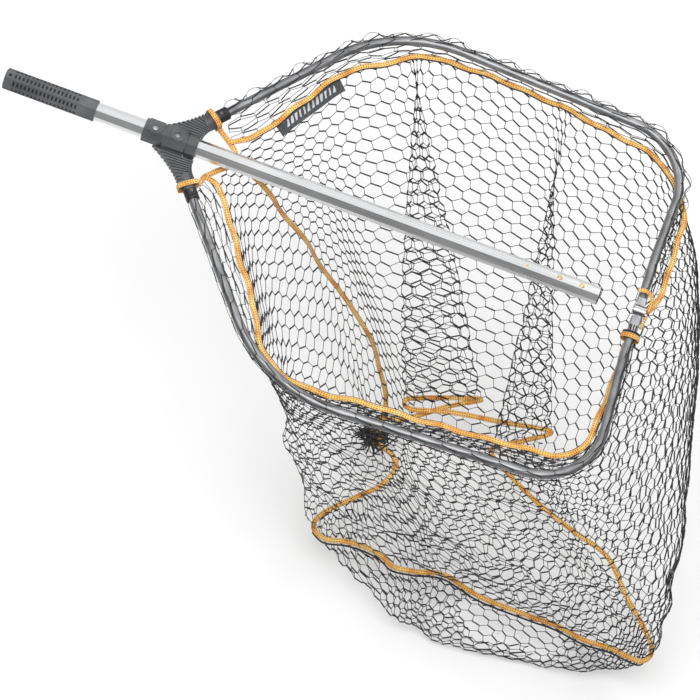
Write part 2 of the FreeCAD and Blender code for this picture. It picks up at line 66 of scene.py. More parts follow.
# Netting: hexagons of twine. Some of their legs are doubled by the knitting and look much thicker. Each knot
# strays a little from an even net, by a share of a cell along its row and by a share of a row.
TWINE_RADIUS = 0.58
DOUBLED_RADIUS = 1.35
TWINE_SIDES = 6
STRAY_ALONG = 0.075
STRAY_DOWN = 0.06

# The bag's wall: its rows, and how far its top row lies below the hem tape
BAG_ROWS = 30
WALL_DROP = 4.0
WALL_SEED = 11

# The wall's loose folds: their size, their depth on the far side, and how much deeper the near side's are.
# Up to SMOOTH_END of the way round, the wall is stretched smooth. Past it, on the near side, the rows are
# bunched under the hem.
FOLD_SIZE = 62.0
FOLD_DEPTH = 3.0
TUMBLE = 15.0
FOLD_SEED = 4
SMOOTH_END = 0.62
BUNCHING = 0.85

# The pouch under the bag's taped edge: its cells, its rows and their height, and the size and depth of its
# folds, which grow to their full depth over POUCH_FADE from the near tape. Strands shorter than
# SHORTEST_STRAND, at the pouch's edges, are left out.
POUCH_CELLS = 34
POUCH_ROWS = 33
POUCH_ROW = 18.0
POUCH_FOLD_SIZE = 55.0
POUCH_FOLD_DEPTH = 10.0
POUCH_FADE = 60.0
POUCH_SEED = 12
SHORTEST_STRAND = 4.0

# The sleeve of net round the hoop: its distance from the arm's socket, the length of a cell along it, its
# rows, its clearance from the tube, how far its inner edges lie below the hem tape, its twine's thickness
# against the bag's, how far it swells outside the tube, the steps along each strand, and its slack on each
# half
SLEEVE_START = 28.0
SLEEVE_PITCH = 46.0
SLEEVE_ROWS = 10
SLEEVE_GAP = 1.2
SLEEVE_DROP = 2.5
SLEEVE_TWINE = 0.8
SLEEVE_SWELL = 0.6
SLEEVE_STEPS = 5
SLEEVE_SEED = 21
LEFT_SLACK = 10.0
RIGHT_SLACK = 1.2

# The cord along the net's edge: beside the hem tapes, and below the tape round the bottom
HEM_CORD_RADIUS = 1.1
HEM_CORD_IN = 5.0
HEM_CORD_DOWN = 1.5
EDGE_CORD_RADIUS = 1.9
EDGE_CORD_OFFSET = Vector((0, -5.5, -4.5))

# Hoop tube, as in the CAD model: its height and radius, the end of the arm's socket, the corners and radii of
# its bends, the line of its front run, and where the sleeve's two halves end beside the hinge
FRAME_Z = -10.0
TUBE_RADIUS = 7.75
SOCKET = (52.3, 64.3)
SHOULDER = (281.0, 353.4)
SHOULDER_BEND = 244.0
CORNER = (826.0, 330.0)
CORNER_BEND = 110.0
FRONT_X = 815.0
LEFT_TUBE_END = 44.0
RIGHT_TUBE_END = 54.0
HOOP_MIDDLE = Vector((450, 0, FRAME_Z))

# The flutes along the ferrule are cut to less than this distance from its axis, and shade is painted inside
# them
FLUTE_RADIUS = 8.35

# The grip's rows of slots, inside which shade is painted: the distance from the axis to their mouths, half
# the rows' length, and how far behind the grip's middle they lie
SLOT_RADIUS = 16.2
SLOTS_HALF = 62.0
SLOTS_BACK = 5.0

# Tapes: their section, their weave and two rows of stitches, the distance from one section to the next, and
# the steps round a loop that is sewn shut
TAPE_WIDTH = 9.0
TAPE_THICKNESS = 1.1
TAPE_CROWN = 0.25
RIB_PITCH = 1.5
CHEVRON_PITCH = 2.4
STITCH_ROW = 1.9
STITCH_HALF_WIDTH = 0.75
STITCH_PITCH = 4.4
ROUTE_STEP = 3.0
SEWN_STEPS = 48

# The hem wanders from side to side in two waves. Each is its reach and its steps of the route to a radian.
# They fade out over the last steps at each end.
HEM_WAVES = ((1.5, 3.9), (0.9, 7.3))
HEM_FADE = 20

# The yoke straps: how far ahead of the socket they lie, half the width and height of the loop round the arm,
# and the power that makes it squarish rather than oval
STRAP_AHEAD = 0.5
STRAP_REACH = 17.6
STRAP_HEIGHT = 11.9
STRAP_POWER = 0.45

# The woven tag: the place on the hem where it starts, its size, the depth of its waves and their millimetres
# to a radian, how far its sewn edge lies below and inside the hem, and the share of its height by which it
# leans inwards and down
LABEL_START = (150, 104, -22)
LABEL_LENGTH = 145.0
LABEL_HEIGHT = 25.0
LABEL_THICKNESS = 0.9
LABEL_WAVE = 2.2
LABEL_WAVE_PACE = 17.0
LABEL_BELOW = 3.2
LABEL_BEYOND = 1.0
LABEL_INWARD = 0.91
LABEL_DOWN = 0.42

# The row of slanted dashes along the tag's middle
DASH_PITCH = 9.5
DASH_REACH = 5.6
DASHES_MIDDLE = 72.0
DASHES_HALF = 56.0

# The bag from column to column, going round from the yoke by the left: the cells up to the next column,
# then the column's points on the hem, half way down and on the taped edge of the bottom
COLUMNS = [
    (4, (100, 0, -27), (290, -16, -225), (494, -156, -520)),
    (5, (137, 86, -22), (312, 52, -250), (520, -122, -506)),
    (5, (220, 230, -22), (362, 80, -262), (562, -86, -494)),
    (2, (310, 301, -22), (491, 144, -268), (650, -31, -484)),
    (2, (328, 315, -22), (454, 132, -274), (585, -58, -486)),
    (3, (347, 323, -22), (417, 112, -266), (522, -86, -488)),
    (3, (410, 330, -22), (500, 132, -266), (607, -74, -490)),
    (3, (487, 329, -22), (589, 148, -262), (700, -55, -494)),
    (2, (563, 325, -22), (677, 155, -262), (788, -36, -500)),
    (2, (594, 322, -22), (666, 151, -276), (745, -70, -508)),
    (5, (625, 317, -22), (656, 143, -286), (697, -104, -514)),
    (3, (752, 297, -22), (775, 118, -278), (766, -143, -524)),
    (3, (800, 268, -22), (845, 108, -262), (820, -166, -527)),
    (4, (840, 210, -22), (915, 100, -222), (880, -188, -532)),
    (3, (846, 120, -22), (955, 64, -228), (925, -200, -534)),
    (3, (842, 40, -22), (982, 6, -256), (965, -222, -535)),
    (4, (818, -20, -24), (1006, -66, -294), (1000, -262, -537)),
    (5, (810, -135, -22), (1030, -170, -335), (1042, -305, -538)),
    (8, (787, -268, -22), (1012, -315, -335), (1068, -368, -540)),
    (10, (650, -297, -22), (860, -352, -322), (905, -366, -540)),
    (12, (480, -311, -22), (645, -360, -310), (700, -352, -540)),
    (4, (295, -314, -22), (366, -322, -272), (446, -350, -540)),
    (4, (200, -187, -22), (330, -232, -270), (478, -290, -536)),
    (3, (112, -58, -22), (300, -110, -245), (535, -205, -530)),
]

# The columns along each half's hem tape, from the yoke to the hinge, and the tape's ends beyond them
LEFT_HEM = range(1, 16)
LEFT_HEM_START = (90, 42, -22)
LEFT_HEM_END = (829, 10, -22)
RIGHT_HEM = [23, 22, 21, 20, 19, 18, 17]
RIGHT_HEM_START = [(73, -33, -22), (95, -38, -22)]
RIGHT_HEM_END = (812, -56, -19)

# The tape round the bag's bottom: along the near side, and back along the far side with its folds
NEAR_TAPE = [
    (446, -350, -540), (471, -361, -541), (510, -353, -538), (545, -351, -539), (575, -355, -541),
    (600, -366, -542), (640, -361, -540), (691, -349, -539), (762, -364, -540), (856, -366, -540),
    (905, -366, -539), (960, -373, -540), (1010, -370, -541), (1065, -374, -540), (1078, -345, -540),
]
FAR_TAPE = [
    (1045, -305, -539), (1010, -272, -538), (954, -212, -535), (880, -189, -532), (806, -164, -527),
    (744, -134, -524), (697, -104, -516), (745, -70, -508), (788, -37, -500), (700, -55, -494),
    (607, -73, -490), (540, -94, -489), (522, -86, -488), (540, -72, -486), (650, -31, -484),
    (600, -62, -492), (530, -112, -504), (486, -124, -510), (508, -134, -512), (484, -146, -518),
    (506, -152, -520), (490, -162, -524), (514, -166, -526), (538, -176, -530), (547, -196, -532),
    (532, -234, -535), (503, -264, -537), (468, -300, -539), (447, -328, -540),
]

# The bunched net where the tape's far side is knotted up: its middle, its spread each way and its strands
BUNCH = Vector((493, -152, -524))
BUNCH_SPREAD = (15, 11, 10)
BUNCH_STRANDS = 190
BUNCH_SEED = 13

# The tape down the rear wall, from the yoke straps to the bunch
CENTRE_TAPE = [
    (108, 7, -27), (140, 5, -32), (166, -2, -42), (190, -8, -64), (212, -11, -98), (262, -14, -155),
    (298, -18, -218), (360, -24, -298), (425, -42, -378), (456, -62, -432), (490, -95, -488),
    (497, -148, -520),
]

# The straps' tails, past the hem's ends and in under the pole, where they meet the centre tape
LEFT_TAIL = [(88, 43, -23), (104, 29, -24), (112, 5, -25)]
RIGHT_TAIL = [(72, -33, -23), (85, -17, -24), (98, -4, -25), (112, 7, -26)]

# The loops of tape at the front hinge
LEFT_HINGE_LOOP = [(803, 36, 0), (816, 37.5, 1), (827, 33, 1), (831, 20, -1), (830, 4, -3)]
RIGHT_HINGE_LOOP = [(830, -3, -5), (829, -14, -7), (826, -26, -10)]

# The sewn band round the right tube's end: its place along Y, and half its width and height
WRAP_Y = -47.3
WRAP_REACH = 15.6
WRAP_HEIGHT = 10.9

# The pouch below the bottom's tape, from its rear end to its front end: points on the near tape, on the bulge
# outside it, under the bottom and on the far tape
POUCH = [
    ((443, -349, -540), (445, -346, -546), (450, -338, -548), (452, -326, -540)),
    ((500, -355, -540), (512, -384, -562), (520, -330, -585), (512, -255, -538)),
    ((597, -362, -540), (624, -426, -602), (636, -310, -628), (544, -170, -526)),
    ((660, -357, -540), (682, -430, -630), (700, -305, -642), (536, -100, -496)),
    ((750, -362, -540), (765, -428, -646), (790, -300, -646), (640, -64, -490)),
    ((856, -366, -540), (880, -414, -640), (895, -300, -644), (775, -58, -504)),
    ((960, -370, -540), (978, -396, -630), (985, -320, -636), (890, -190, -530)),
    ((1030, -372, -540), (1042, -374, -616), (1045, -335, -614), (1002, -265, -537)),
    ((1074, -362, -540), (1077, -358, -560), (1076, -346, -560), (1070, -335, -540)),
]

# The camera looks at a place in the hoop's plane. Its heading is measured from +Y towards +X.
CAMERA_TARGET = (391.1, -244.6, 0.0)
CAMERA_DISTANCE = 4639.5
CAMERA_HEADING = 2.225
CAMERA_ELEVATION = 65.91
CAMERA_ROLL = 22.175


def place(x, y, z):
    return Vector((x + YOKE_X, y, z)) * MM


# ---- materials ----

class Nodes:
    """A material's node tree, with short calls for the nodes that these materials use."""

    def __init__(self, name):
        self.material = bpy.data.materials.new(name)
        self.material.use_nodes = True
        self.tree = self.material.node_tree
        self.shader = self.tree.nodes["Principled BSDF"]
        self.coordinates = self.tree.nodes.new("ShaderNodeTexCoord")

    def set(self, **values):
        for name, value in values.items():
            self.shader.inputs[name.replace("_", " ")].default_value = value

    def link(self, source, socket):
        self.tree.links.new(source, self.shader.inputs[socket])

    def noise(self, stretch, scale, detail):
        mapping = self.tree.nodes.new("ShaderNodeMapping")
        mapping.inputs["Scale"].default_value = stretch
        self.tree.links.new(self.coordinates.outputs["Object"], mapping.inputs["Vector"])
        node = self.tree.nodes.new("ShaderNodeTexNoise")
        node.inputs["Scale"].default_value = scale
        node.inputs["Detail"].default_value = detail
        self.tree.links.new(mapping.outputs["Vector"], node.inputs["Vector"])
        return node.outputs["Fac"]

    def ramp(self, source, *stops):
        node = self.tree.nodes.new("ShaderNodeValToRGB")
        elements = node.color_ramp.elements
        while len(elements) < len(stops):
            elements.new(0.5)
        for element, (position, colour) in zip(elements, stops):
            element.position = position
            element.color = (*colour, 1.0)
        self.tree.links.new(source, node.inputs["Fac"])
        return node.outputs["Color"]

    def math(self, operation, a, b=0.0):
        node = self.tree.nodes.new("ShaderNodeMath")
        node.operation = operation
        for socket, value in zip(node.inputs, (a, b)):
            if isinstance(value, (int, float)):
                socket.default_value = value
            else:
                self.tree.links.new(value, socket)
        return node.outputs["Value"]

    def mix(self, share, a, b):
        node = self.tree.nodes.new("ShaderNodeMix")
        node.data_type = "RGBA"
        sockets = {socket.identifier: socket for socket in node.inputs}
        names = ("Factor_Float", "A_Color", "B_Color")
        for name, value in zip(names, (share, a, b)):
            if isinstance(value, tuple):
                sockets[name].default_value = (*value, 1.0)
            else:
                self.tree.links.new(value, sockets[name])
        return [out for out in node.outputs if out.identifier == "Result_Color"][0]

    def bump(self, height, depth, strength):
        node = self.tree.nodes.new("ShaderNodeBump")
        node.inputs["Distance"].default_value = depth
        node.inputs["Strength"].default_value = strength
        self.tree.links.new(height, node.inputs["Height"])
        self.tree.links.new(node.outputs["Normal"], self.shader.inputs["Normal"])

    def uv(self):
        """The distances along and across a tape, in millimetres."""
        split = self.parted("UV")
        return split["X"], split["Y"]

    def parted(self, source):
        """The X, Y and Z of one of the object's coordinates."""
        node = self.tree.nodes.new("ShaderNodeSeparateXYZ")
        self.tree.links.new(self.coordinates.outputs[source], node.inputs["Vector"])
        return node.outputs


def drawn_aluminium():
    """The pole: bright drawn aluminium, with fine die lines along it and a few handling marks."""
    m = Nodes("drawn_aluminium")
    lines = m.noise((2.0, 900.0, 900.0), 1.0, 3.0)
    marks = m.noise((6.0, 30.0, 30.0), 1.5, 6.0)
    m.set(Metallic=1.0)
    m.link(m.ramp(lines, (0.3, (0.62, 0.625, 0.635)), (0.7, (0.84, 0.845, 0.85))), "Base Color")
    m.link(m.ramp(marks, (0.35, (0.24, 0.24, 0.24)), (0.75, (0.38, 0.38, 0.38))), "Roughness")
    m.bump(lines, 0.00012, 0.5)
    return m.material


def anodised(name, dark, light, roughness):
    """The hoop: dark anodised tube with faint clouds and scuffs."""
    m = Nodes(name)
    cloud = m.noise((14, 14, 14), 2.0, 5.0)
    fine = m.noise((500, 500, 500), 1.0, 2.0)
    m.set(Metallic=0.75)
    m.link(m.ramp(cloud, (0.3, dark), (0.72, light)), "Base Color")
    m.link(m.ramp(cloud, (0.3, (roughness,) * 3), (0.8, (roughness + 0.15,) * 3)), "Roughness")
    m.bump(fine, 0.00006, 0.5)
    return m.material


def moulded(name, dark, light, grain, roughness=0.5):
    """Moulded plastic or rubber: a fine spark-eroded grain and lighter, worn patches."""
    m = Nodes(name)
    cloud = m.noise((9, 9, 9), 3.0, 6.0)
    fine = m.noise((grain, grain, grain), 1.0, 3.0)
    m.link(m.ramp(cloud, (0.35, dark), (0.75, light)), "Base Color")
    m.link(m.ramp(fine, (0.3, (roughness - 0.08,) * 3), (0.7, (roughness + 0.12,) * 3)), "Roughness")
    m.bump(fine, 0.00015, 0.6)
    return m.material


def grip_rubber():
    """The grip's rubber, paler on its worn faces, with shade painted nearly black down in the slots."""
    m = Nodes("grip_rubber")
    split = m.parted("Object")
    across = m.math("ABSOLUTE", split["Y"])
    above = m.math("ABSOLUTE", split["Z"])
    diagonal = m.math("MULTIPLY", m.math("ADD", across, above), math.sqrt(0.5))
    reach = m.math("MAXIMUM", m.math("MAXIMUM", across, above), diagonal)
    from_middle = m.math("ABSOLUTE", m.math("ADD", split["X"], SLOTS_BACK * MM))
    in_rows = m.math("LESS_THAN", from_middle, SLOTS_HALF * MM)
    # Painted shade: below the slots' mouths, within the rows, the rubber is mixed to nearly black.
    painted_slot_shade = m.math("MULTIPLY", m.math("LESS_THAN", reach, SLOT_RADIUS * MM), in_rows)
    cloud = m.noise((9, 9, 9), 3.0, 6.0)
    fine = m.noise((900, 900, 900), 1.0, 3.0)
    face = m.ramp(cloud, (0.35, (0.062, 0.065, 0.070)), (0.75, (0.125, 0.128, 0.134)))
    m.link(m.mix(painted_slot_shade, face, (0.006, 0.006, 0.007)), "Base Color")
    m.link(m.ramp(fine, (0.3, (0.47, 0.47, 0.47)), (0.7, (0.66, 0.66, 0.66))), "Roughness")
    m.bump(fine, 0.00015, 0.6)
    return m.material


def bare_metal(name, dark, light, roughness):
    """Bare metal with a brushed grain."""
    m = Nodes(name)
    brushed = m.noise((120, 20, 120), 1.0, 2.0)
    m.set(Metallic=1.0)
    m.link(m.ramp(brushed, (0.3, dark), (0.7, light)), "Base Color")
    m.link(m.ramp(brushed, (0.2, (roughness,) * 3), (0.8, (roughness + 0.14,) * 3)), "Roughness")
    m.bump(brushed, 0.00008, 0.4)
    return m.material


def fluted_metal():
    """The ferrule: bright metal, with shade painted nearly black into the flutes along it."""
    m = Nodes("fluted_metal")
    split = m.parted("Object")
    axis = place(FRONT_X, 0, FRAME_Z)
    squares = []
    for output, middle in (("X", axis.x), ("Z", axis.z)):
        offset = m.math("SUBTRACT", split[output], middle)
        squares.append(m.math("MULTIPLY", offset, offset))
    reach = m.math("SQRT", m.math("ADD", *squares))
    # Painted shade: within the flutes' depth the ferrule is mixed to nearly black and made non-metallic.
    painted_flute_shade = m.math("LESS_THAN", reach, FLUTE_RADIUS * MM)
    brushed = m.noise((120, 20, 120), 1.0, 2.0)
    metal = m.ramp(brushed, (0.3, (0.42, 0.425, 0.44)), (0.7, (0.60, 0.605, 0.615)))
    m.link(m.mix(painted_flute_shade, metal, (0.015, 0.015, 0.015)), "Base Color")
    m.link(m.ramp(brushed, (0.2, (0.24, 0.24, 0.24)), (0.8, (0.36, 0.36, 0.36))), "Roughness")
    m.link(m.math("SUBTRACT", 1.0, painted_flute_shade), "Metallic")
    m.bump(brushed, 0.00008, 0.4)
    return m.material


def webbing():
    """Orange woven tape: cross ribs, two rows of dark stitches, and shade painted dark along its edges."""
    m = Nodes("orange_webbing")
    along, across = m.uv()
    ribs = m.math("SINE", m.math("MULTIPLY", along, math.tau / RIB_PITCH))
    chevron = m.math("ABSOLUTE", m.math("SINE", m.math("MULTIPLY", across, math.tau / CHEVRON_PITCH)))
    weave = m.math("ADD", m.math("MULTIPLY", ribs, 0.35), m.math("MULTIPLY", chevron, 0.4))
    wear = m.noise((40, 40, 40), 1.0, 5.0)
    tone = m.math("ADD", m.math("MULTIPLY", weave, 0.35), wear)
    colour = m.ramp(tone, (0.30, (0.50, 0.13, 0.01)), (0.50, (0.86, 0.36, 0.035)), (0.72, (0.98, 0.66, 0.22)))
    offset = m.math("ABSOLUTE", across)
    from_row = m.math("ABSOLUTE", m.math("SUBTRACT", offset, STITCH_ROW))
    in_row = m.math("LESS_THAN", from_row, STITCH_HALF_WIDTH)
    dash = m.math("GREATER_THAN", m.math("SINE", m.math("MULTIPLY", along, math.tau / STITCH_PITCH)), -0.1)
    stitch = m.math("MULTIPLY", in_row, dash)
    # Painted shade: a dark band along both edges of the tape, mixed in with the stitches' dark colour.
    edge = m.math("GREATER_THAN", offset, 0.46 * TAPE_WIDTH)
    dark = m.math("MAXIMUM", m.math("MULTIPLY", stitch, 0.85), m.math("MULTIPLY", edge, 0.8))
    m.link(m.mix(dark, colour, (0.035, 0.022, 0.015)), "Base Color")
    m.set(Roughness=0.72, Sheen_Weight=0.25)
    m.bump(m.math("SUBTRACT", weave, m.math("MULTIPLY", stitch, 0.8)), 0.0004, 0.8)
    return m.material


def label_cloth():
    """A woven dark tag with a stitched border and a plain row of slanted dashes."""
    m = Nodes("label_cloth")
    along, across = m.uv()
    weave = m.math("SINE", m.math("MULTIPLY", m.math("ADD", along, across), math.tau / 0.9))
    fuzz = m.noise((200, 200, 200), 1.0, 4.0)
    cloth = m.ramp(fuzz, (0.3, (0.035, 0.038, 0.042)), (0.7, (0.075, 0.08, 0.088)))
    slant = m.math("ADD", along, m.math("MULTIPLY", across, 0.5))
    dashes = m.math("GREATER_THAN", m.math("SINE", m.math("MULTIPLY", slant, math.tau / DASH_PITCH)), 0.1)
    middle = m.math("LESS_THAN", m.math("ABSOLUTE", across), DASH_REACH)
    from_middle = m.math("ABSOLUTE", m.math("SUBTRACT", along, DASHES_MIDDLE))
    inside = m.math("LESS_THAN", from_middle, DASHES_HALF)
    mark = m.math("MULTIPLY", m.math("MULTIPLY", dashes, middle), inside)
    m.link(m.mix(mark, cloth, (0.62, 0.64, 0.66)), "Base Color")
    m.set(Roughness=0.8, Sheen_Weight=0.3)
    m.bump(m.math("ADD", weave, mark), 0.0002, 0.7)
    return m.material


def twine():
    """Dark coated twine: a slightly glossy skin with paler rubbed patches."""
    m = Nodes("net_twine")
    patches = m.noise((25, 25, 25), 1.0, 4.0)
    fine = m.noise((1500, 1500, 1500), 1.0, 2.0)
    m.link(m.ramp(patches, (0.35, (0.005, 0.005, 0.006)), (0.75, (0.022, 0.022, 0.024))), "Base Color")
    m.set(Roughness=0.45)
    m.bump(fine, 0.0001, 0.5)
    return m.material


# ---- mesh helpers ----

def new_piece(name, vertices, faces, material, body, uvs=None):
    mesh = bpy.data.meshes.new(name)
    mesh.from_pydata([tuple(v) for v in vertices], [], faces)
    mesh.polygons.foreach_set("use_smooth", [True] * len(mesh.polygons))
    if uvs is not None:
        layer = mesh.uv_layers.new(name="UVMap")
        for loop in mesh.loops:
            layer.data[loop.index].uv = uvs[loop.vertex_index]
    mesh.materials.append(material)
    piece = bpy.data.objects.new(name, mesh)
    bpy.context.scene.collection.objects.link(piece)
    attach(piece, body)
    return piece


def spline(points, share, closed=False):
    """A place on the smooth curve through the points. share runs from 0 to 1."""
    spans = len(points) if closed else len(points) - 1
    position = share * spans
    first = min(max(int(position), 0), spans - 1)
    t = position - first

    def pick(index):
        if closed:
            return points[index % len(points)]
        return points[min(max(index, 0), len(points) - 1)]

    a, b, c, d = (pick(first + step) for step in (-1, 0, 1, 2))
    cubic = (b * 3 - a - c * 3 + d) * t ** 3
    return (b * 2 + (c - a) * t + (a * 2 - b * 5 + c * 4 - d) * t * t + cubic) * 0.5


def smooth_route(points, spacing, closed=False):
    """Points at an equal spacing along the smooth curve through the given ones."""
    fine = [spline(points, i / 400, closed) for i in range(401)]
    total = sum((b - a).length for a, b in zip(fine, fine[1:]))
    count = max(int(total / spacing), 2)
    route = [fine[0].copy()]
    walked = 0.0
    for a, b in zip(fine, fine[1:]):
        step = (b - a).length
        while step > 0 and walked + step >= len(route) * total / count and len(route) < count:
            ahead = (len(route) * total / count - walked) / step
            route.append(a.lerp(b, ahead))
        walked += step
    route.append(fine[-1].copy())
    return route


def bent_route(corners, spacing):
    """Straight runs joined by tangent arcs. A corner is x, y and the radius of its bend."""
    points = [Vector((x, y, 0)) for x, y, bend in corners]
    route = [points[0]]
    for before, here, after, corner in zip(points, points[1:], points[2:], corners[1:]):
        back = (before - here).normalized()
        ahead = (after - here).normalized()
        half = back.angle(ahead) / 2
        enter = here + back * (corner[2] / math.tan(half))
        centre = here + (back + ahead).normalized() * (corner[2] / math.sin(half))
        sweep = math.pi - 2 * half
        turn = 1 if back.cross(ahead).z < 0 else -1
        arm = enter - centre
        steps = 24
        for step in range(steps + 1):
            route.append(centre + Matrix.Rotation(turn * sweep * step / steps, 3, "Z") @ arm)
    route.append(points[-1])
    total = sum((b - a).length for a, b in zip(route, route[1:]))
    count = int(total / spacing)
    result = []
    walked = 0.0
    for a, b in zip(route, route[1:]):
        step = (b - a).length
        while len(result) <= count and len(result) * total / count <= walked + step + 1e-6:
            share = (len(result) * total / count - walked) / step if step else 0
            result.append(a.lerp(b, share))
        walked += step
    return result


class Strands:
    """Twine collected into one mesh: each strand is a thin tube through two or more points."""

    def __init__(self):
        self.vertices = []
        self.faces = []

    def add(self, points, radius):
        sides = TWINE_SIDES
        first = len(self.vertices)
        along = (points[-1] - points[0]).normalized()
        side = along.orthogonal().normalized()
        other = along.cross(side)
        for point in points:
            for number in range(sides):
                angle = math.tau * number / sides
                self.vertices.append(point + (side * math.cos(angle) + other * math.sin(angle)) * radius)
        for ring in range(len(points) - 1):
            base = first + ring * sides
            for number in range(sides):
                after = (number + 1) % sides
                self.faces.append((base + number, base + after, base + sides + after, base + sides + number))
        last = first + (len(points) - 1) * sides
        self.faces.append(tuple(first + n for n in reversed(range(sides))))
        self.faces.append(tuple(last + n for n in range(sides)))

    def piece(self, name, material, body):
        return new_piece(name, self.vertices, self.faces, material, body)


def hex_net(cells, rows, closed, keep, seed):
    """Draws a hexagonal net. Each strand goes to keep() as its two ends, each a pair of numbers counted in
    cells and in rows, and with True for the legs that the knitting doubles."""
    draw = random.Random(seed)
    columns = 2 * cells if closed else 2 * cells + 1
    loose = {}

    def knot(row, column):
        key = (row, column % columns if closed else column)
        if key not in loose:
            loose[key] = draw.uniform(-STRAY_ALONG, STRAY_ALONG), draw.uniform(-STRAY_DOWN, STRAY_DOWN)
        along, down = loose[key]
        low = (row + column) % 2
        return column / 2 + along, min(max(row + low / 3 + down, 0.0), rows)

    for row in range(rows):
        for column in range(columns if closed else columns - 1):
            keep(knot(row, column), knot(row, column + 1), (row + column) % 2 == 0)
        for column in range(columns):
            if (row + column) % 2:
                keep(knot(row, column), knot(row + 1, column), False)


def strand_radius(doubled):
    return (DOUBLED_RADIUS if doubled else TWINE_RADIUS) * MM


# ---- bag ----

def column_curves():
    return [[Vector(column[level]) for column in COLUMNS] for level in (1, 2, 3)]


def column_share(cell):
    """Where a cell's number lies among the columns, from 0 to 1 round the bag."""
    total = sum(column[0] for column in COLUMNS)
    cell = cell % total
    before = 0
    for number, column in enumerate(COLUMNS):
        if cell < before + column[0]:
            return (number + (cell - before) / column[0]) / len(COLUMNS)
        before += column[0]
    return 0.0


def down_the_wall(share, depth):
    """A place on the bag's wall. depth runs from 0 at the hem to 1 at the taped edge."""
    hem, belly, edge = (spline(curve, share, True) for curve in column_curves())
    top = hem - Vector((0, 0, WALL_DROP))
    upper = top * ((1 - depth) * (1 - 2 * depth))
    return upper + belly * (4 * depth * (1 - depth)) + edge * (depth * (2 * depth - 1))


def nearness(share):
    """0 on the far side, where the wall is stretched smooth, up to 1 in the middle of the near side."""
    return 0.5 - 0.5 * math.cos(math.tau * min(max((share - SMOOTH_END) / (1 - SMOOTH_END), 0.0), 1.0))


def wall_point(share, level):
    """A place on the wall with its folds. They are deepest half way down and nearly gone at the bottom."""
    near = nearness(share)
    depth = level ** (1 + BUNCHING * near)
    here = down_the_wall(share, depth)
    swell = 4 * depth * (1.06 - depth)
    return here + noise.noise_vector(here / FOLD_SIZE) * ((FOLD_DEPTH + TUMBLE * near) * swell)


def pouch_section(share):
    """Places across the pouch at a share of its length: from the near tape, under it, to the far tape."""
    steps = 24
    corners = [spline([Vector(station[level]) for station in POUCH], share) for level in range(4)]
    return [spline(corners, step / steps) for step in range(steps + 1)]


def pouch_point(share, reach):
    """A place on the pouch, reach millimetres from the near tape, or None past the far tape."""
    section = pouch_section(min(max(share, 0.0), 1.0))
    walked = 0.0
    for a, b in zip(section, section[1:]):
        step = (b - a).length
        if walked + step >= reach:
            here = a.lerp(b, (reach - walked) / step)
            depth = POUCH_FOLD_DEPTH * min(reach / POUCH_FADE, 1.0)
            return here + noise.noise_vector(here / POUCH_FOLD_SIZE) * depth
        walked += step
    return section[-1] if reach < walked + POUCH_ROW else None


def bag(material):
    """The netting, parted at the fold. The right piece also has the pouch, the bunch and the edge's cord."""
    noise.seed_set(FOLD_SEED)
    halves = {"left": Strands(), "right": Strands()}
    cells = sum(column[0] for column in COLUMNS)

    def keep_wall(start, end, doubled):
        a, b = (wall_point(column_share(u), v / BAG_ROWS) for u, v in (start, end))
        side = "left" if a.y + b.y > 0 else "right"
        halves[side].add([place(*a), place(*b)], strand_radius(doubled))

    def keep_pouch(start, end, doubled):
        a, b = (pouch_point(u / POUCH_CELLS, v * POUCH_ROW) for u, v in (start, end))
        if a and b and (b - a).length > SHORTEST_STRAND:
            halves["right"].add([place(*a), place(*b)], strand_radius(doubled))

    hex_net(cells, BAG_ROWS, True, keep_wall, WALL_SEED)
    hex_net(POUCH_CELLS, POUCH_ROWS, False, keep_pouch, POUCH_SEED)
    draw = random.Random(BUNCH_SEED)
    for number in range(BUNCH_STRANDS):
        a, b = (BUNCH + Vector([draw.gauss(0, spread) for spread in BUNCH_SPREAD]) for end in range(2))
        halves["right"].add([place(*a), place(*b)], strand_radius(number % 2 == 0))
    cord = smooth_route([Vector(p) + EDGE_CORD_OFFSET for p in NEAR_TAPE], 6.0)
    halves["right"].add([place(*p) for p in cord], EDGE_CORD_RADIUS * MM)
    for side, strands in halves.items():
        piece = strands.piece("netting_" + side, material, side + "_half")
        flatten(piece)
        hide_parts("net_bag_" + side)


def flatten(piece):
    """Gives a soft piece its own copy of its mesh."""
    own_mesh(piece)


# ---- sleeve of net round the hoop tube ----

def body_of(side):
    return "left_half" if side > 0 else "right_half"


def arm_direction():
    return Vector((SHOULDER[0] - SOCKET[0], SHOULDER[1] - SOCKET[1], 0)).normalized()


def hoop_route(side, front_end, spacing):
    """The middle of a hoop tube, from just past its socket clip to its front end."""
    start = Vector((*SOCKET, 0)) + arm_direction() * SLEEVE_START
    bends = [(*SHOULDER, SHOULDER_BEND), (*CORNER, CORNER_BEND)]
    route = bent_route([(start.x, start.y, 0)] + bends + [(FRONT_X, front_end, 0)], spacing)
    return [Vector((p.x, side * p.y, FRAME_Z)) for p in route]


def hem_points(indices):
    return [Vector(COLUMNS[i][1]) for i in indices]


def nearest(route, point):
    return min(route, key=lambda p: (p - point).length)


